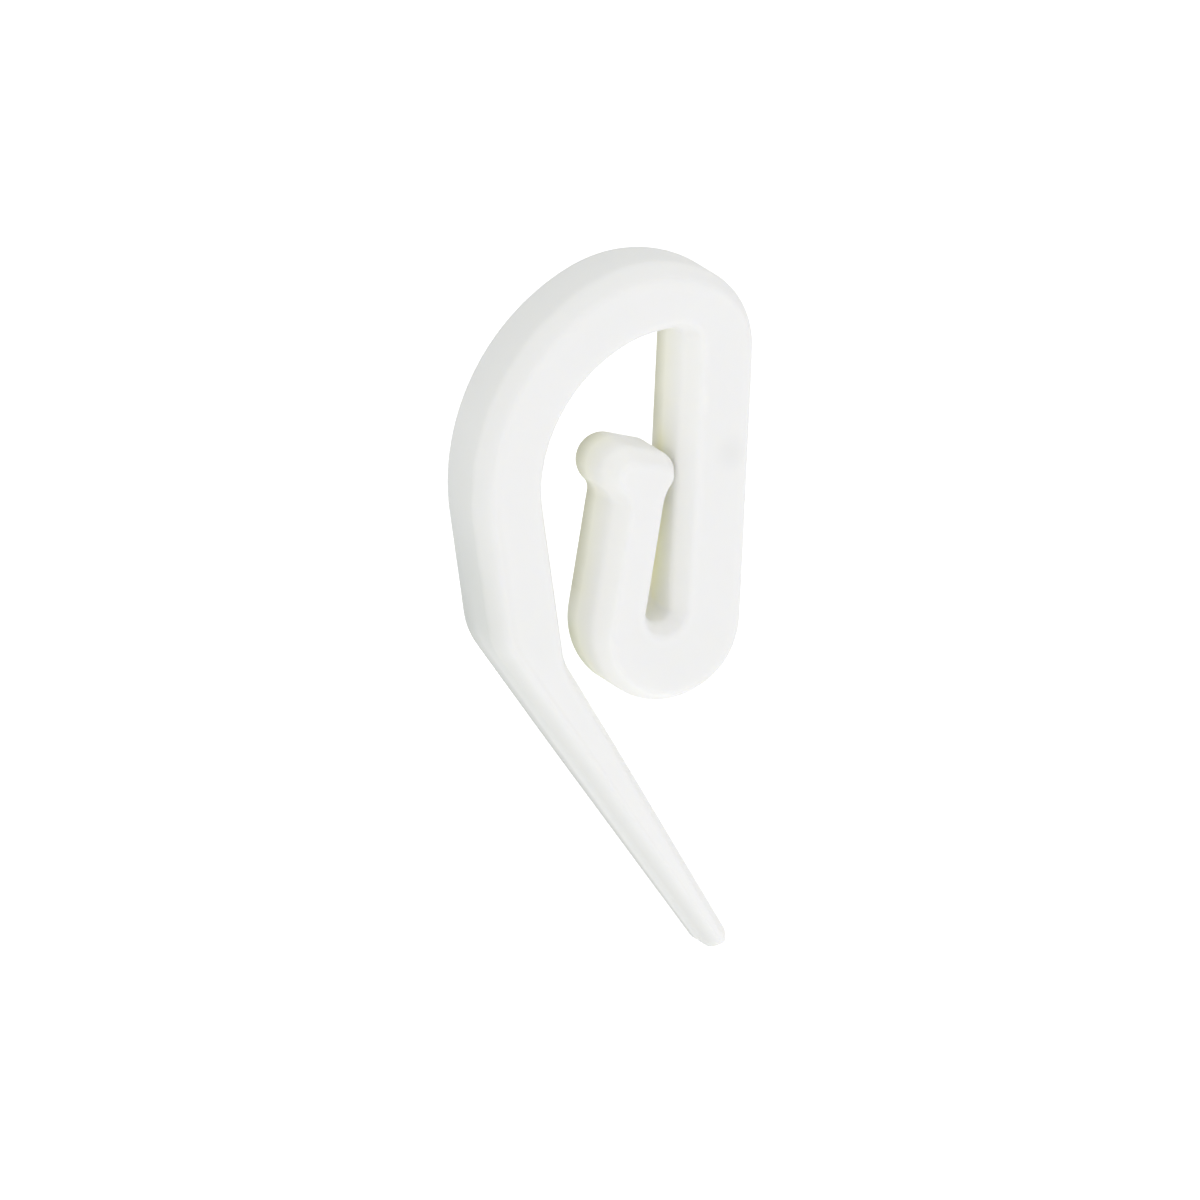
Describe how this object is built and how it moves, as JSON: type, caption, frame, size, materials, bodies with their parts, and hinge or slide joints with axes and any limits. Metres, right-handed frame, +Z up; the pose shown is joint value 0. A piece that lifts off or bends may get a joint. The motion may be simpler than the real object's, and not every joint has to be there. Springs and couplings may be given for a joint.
{
  "type": "curtain hook",
  "caption": "Moulded plastic curtain hook: a rounded loop with a long tapering point hangs in a glider's eye, and an upturned barbed tongue grips the heading tape.",
  "frame": {"origin": "the seat at the top of the loop's inside, in the middle of the thickness, where the glider's eye bears", "axes": "+Z up as the hook hangs, +X from the arm and point towards the leg, -Y out of the front face"},
  "size_m": [0.0133, 0.0042, 0.0315],
  "materials": {
    "plastic": "satin, slightly translucent off-white"
  },
  "bodies": {
    "root": {"curtain_hook": "plastic"}
  },
  "joints": []
}
